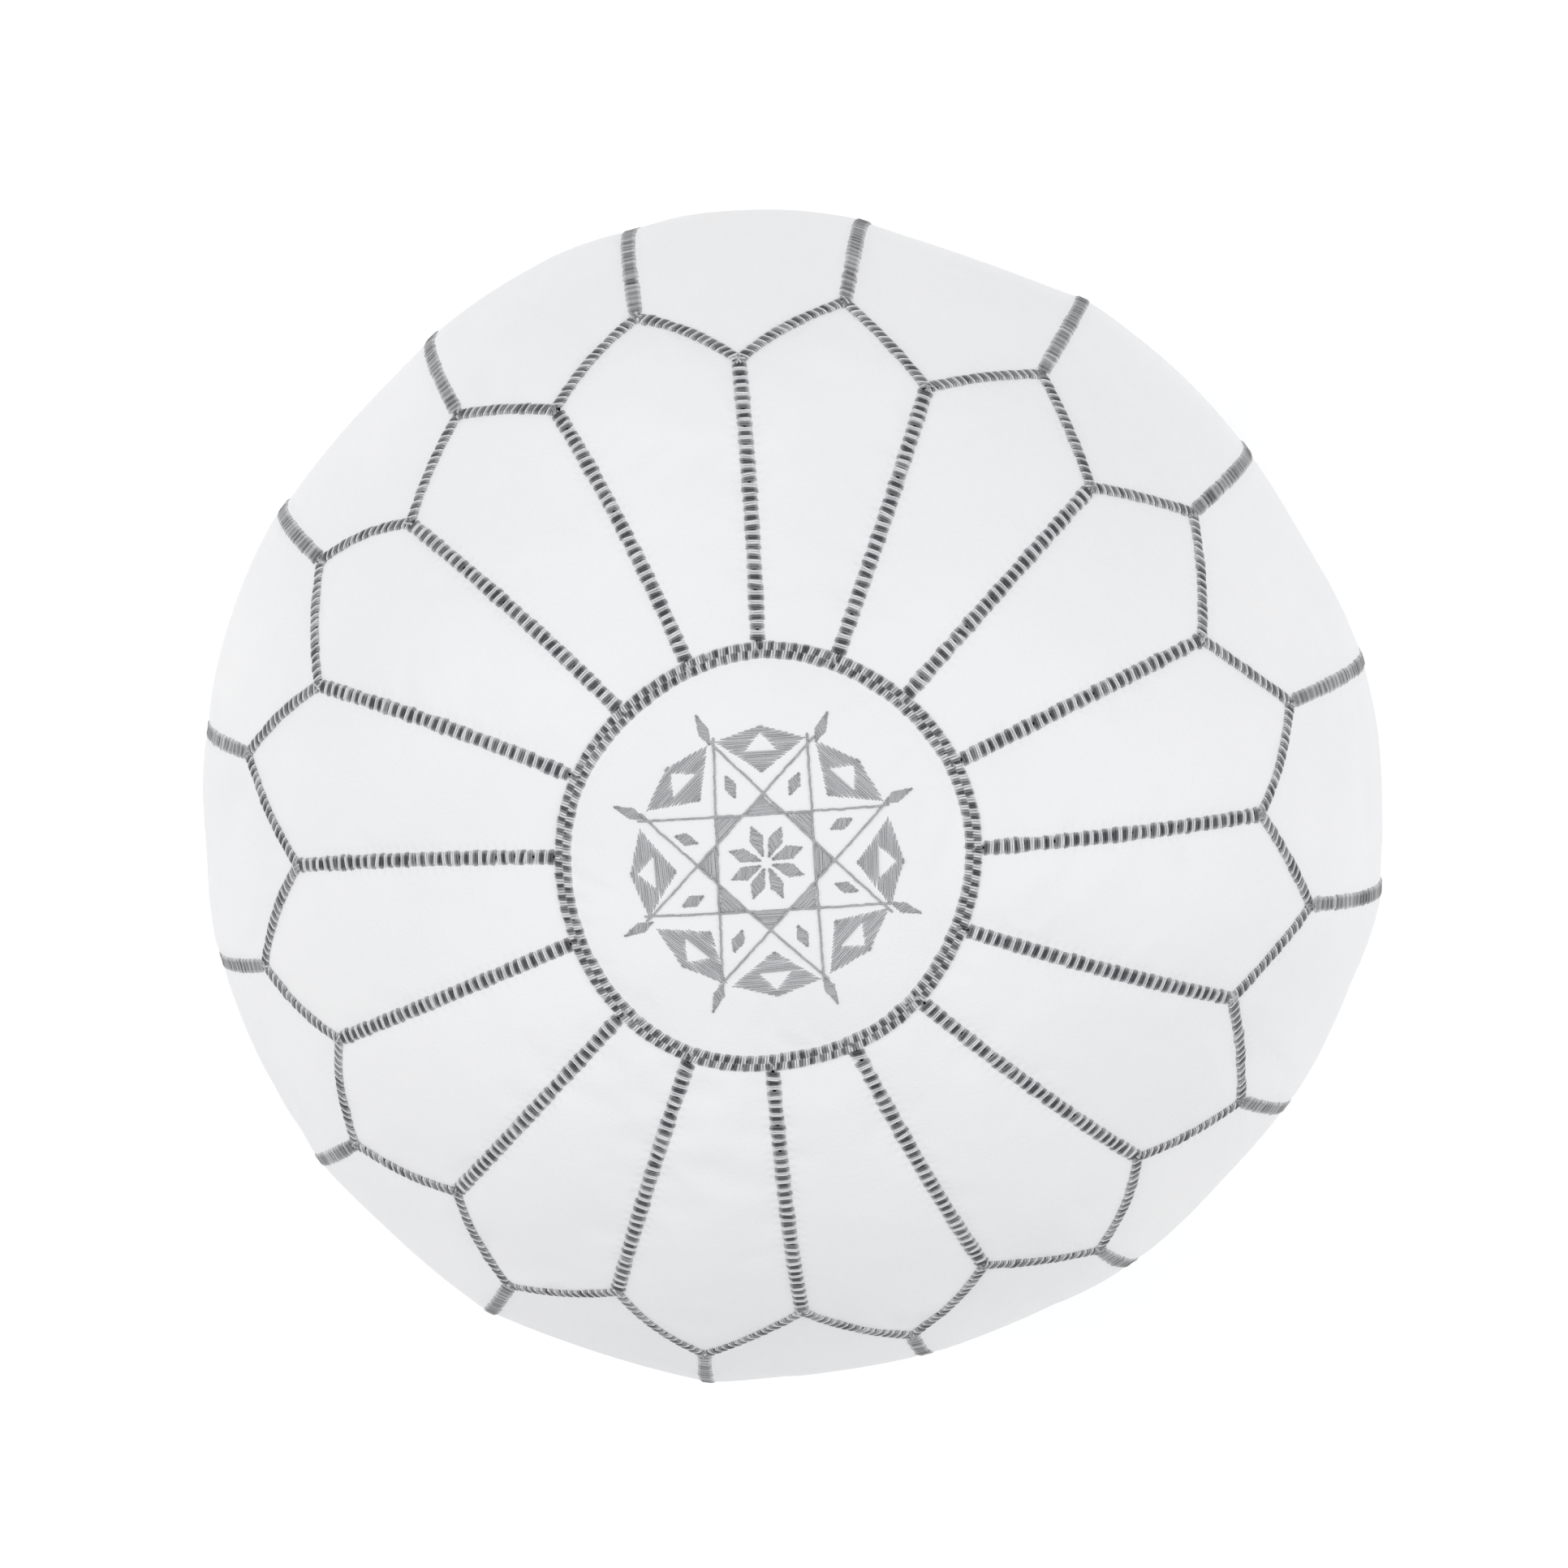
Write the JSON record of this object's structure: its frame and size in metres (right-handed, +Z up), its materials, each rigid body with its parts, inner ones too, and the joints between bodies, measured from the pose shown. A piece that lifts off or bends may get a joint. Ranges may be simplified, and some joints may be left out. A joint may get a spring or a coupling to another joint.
{
  "type": "leather floor pouf",
  "caption": "Round stuffed floor pouf of stitched leather panels, with petals round an embroidered medallion on top and a zipped base.",
  "frame": {"origin": "on the floor under the middle of the round base", "axes": "+Z up through the middle of the medallion; X along the zip, whose closed end is at +X"},
  "size_m": [0.5298, 0.5298, 0.3363],
  "materials": {
    "leather": "soft white leather, satin sheen, fine grain",
    "seam_thread": "dark grey twisted thread, matte",
    "side_thread": "mid grey twisted thread, matte",
    "embroidery_thread": "light grey embroidery thread, soft sheen",
    "zip_tape": "off-white woven tape, matte",
    "zip_teeth": "off-white moulded plastic",
    "zip_metal": "nickel plate, slightly worn",
    "bag_cloth": "undyed calico, matte",
    "stuffing": "cotton wadding, matte"
  },
  "bodies": {
    "pouf": {"medallion": "leather", "petal_01": "leather", "petal_02": "leather", "petal_03": "leather", "petal_04": "leather", "petal_05": "leather", "petal_06": "leather", "petal_07": "leather", "petal_08": "leather", "petal_09": "leather", "petal_10": "leather", "petal_11": "leather", "petal_12": "leather", "petal_13": "leather", "petal_14": "leather", "petal_15": "leather", "petal_16": "leather", "side_panel_01": "leather", "side_panel_02": "leather", "side_panel_03": "leather", "side_panel_04": "leather", "side_panel_05": "leather", "side_panel_06": "leather", "side_panel_07": "leather", "side_panel_08": "leather", "side_panel_09": "leather", "side_panel_10": "leather", "side_panel_11": "leather", "side_panel_12": "leather", "side_panel_13": "leather", "side_panel_14": "leather", "side_panel_15": "leather", "side_panel_16": "leather", "medallion_embroidery": "embroidery_thread", "medallion_ring_stitching": "seam_thread", "petal_seam_stitching": "seam_thread", "side_seam_stitching": "side_thread", "base_half_left": "leather", "zip_tape_left": "zip_tape", "zip_teeth_left": "zip_teeth", "zip_stitch_left": "seam_thread", "zip_top_stop_left": "zip_metal", "base_half_right": "leather", "zip_tape_right": "zip_tape", "zip_teeth_right": "zip_teeth", "zip_stitch_right": "seam_thread", "zip_top_stop_right": "zip_metal", "zip_bottom_stop": "zip_metal", "inner_bag": "bag_cloth", "stuffing": "stuffing"},
    "slider": {"zip_slider": "zip_metal"},
    "pull": {"zip_pull": "zip_metal"}
  },
  "joints": [
    {"name": "zip_slide", "type": "slide", "parent": "pouf", "child": "slider", "axis": [-1, 0, 0], "range_m": [0, 0.25]},
    {"name": "pull_swing", "type": "hinge", "parent": "slider", "child": "pull", "pos_m": [0.1228, 0, 0.00395], "axis": [0, 1, 0], "range_deg": [-175, 0]}
  ]
}
